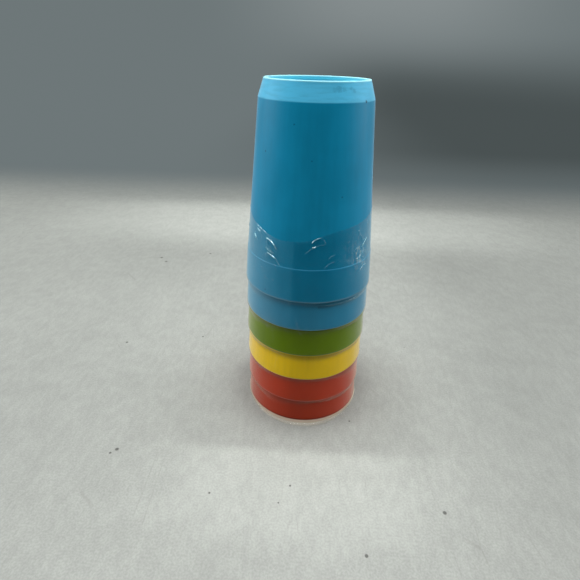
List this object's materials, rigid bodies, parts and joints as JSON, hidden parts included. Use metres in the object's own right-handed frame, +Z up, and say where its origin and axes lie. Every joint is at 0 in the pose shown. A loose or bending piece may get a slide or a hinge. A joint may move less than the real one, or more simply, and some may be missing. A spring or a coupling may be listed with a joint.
{
  "type": "nesting tumbler tower",
  "caption": "Straight tapered plastic drinking tumblers nested upside down into a tower, one whole tumbler on top and a coloured band of each below, held by a sleeve of clear film.",
  "frame": {"origin": "centre of the bottom tumbler's rim, on the surface the tower stands on", "axes": "+Z up along the common axis of the tumblers; -Y faces the viewer; the tower is round, so X and Y are only told apart by the dip in the film's upper edge, which faces -Y"},
  "size_m": [0.0868, 0.0868, 0.2092],
  "materials": {
    "orange_red_plastic": "satin moulded polyethylene, lightly scuffed",
    "yellow_plastic": "satin moulded polyethylene",
    "green_plastic": "satin moulded polyethylene",
    "mid_blue_plastic": "satin moulded polyethylene",
    "light_blue_plastic": "satin moulded polyethylene with small dark scuffs",
    "clear_film": "clear stretch film with glossy creases"
  },
  "bodies": {
    "cup_6_red": {"cup_6_red": "orange_red_plastic"},
    "cup_5_red": {"cup_5_red": "orange_red_plastic"},
    "cup_4_yellow": {"cup_4_yellow": "yellow_plastic"},
    "cup_3_green": {"cup_3_green": "green_plastic"},
    "cup_2_blue": {"cup_2_blue": "mid_blue_plastic"},
    "cup_1_blue": {"cup_1_blue": "light_blue_plastic"},
    "wrap_film": {"wrap_film": "clear_film"}
  },
  "joints": [
    {"name": "lift_cup_5", "type": "slide", "parent": "cup_6_red", "child": "cup_5_red", "axis": [0, 0, 1], "range_m": [0, 0.12]},
    {"name": "lift_cup_4", "type": "slide", "parent": "cup_5_red", "child": "cup_4_yellow", "axis": [0, 0, 1], "range_m": [0, 0.12]},
    {"name": "lift_cup_3", "type": "slide", "parent": "cup_4_yellow", "child": "cup_3_green", "axis": [0, 0, 1], "range_m": [0, 0.12]},
    {"name": "lift_cup_2", "type": "slide", "parent": "cup_3_green", "child": "cup_2_blue", "axis": [0, 0, 1], "range_m": [0, 0.12]},
    {"name": "lift_cup_1", "type": "slide", "parent": "cup_2_blue", "child": "cup_1_blue", "axis": [0, 0, 1], "range_m": [0, 0.12]},
    {"name": "lift_wrap_film", "type": "slide", "parent": "cup_1_blue", "child": "wrap_film", "axis": [0, 0, 1], "range_m": [0, 0.215]}
  ]
}
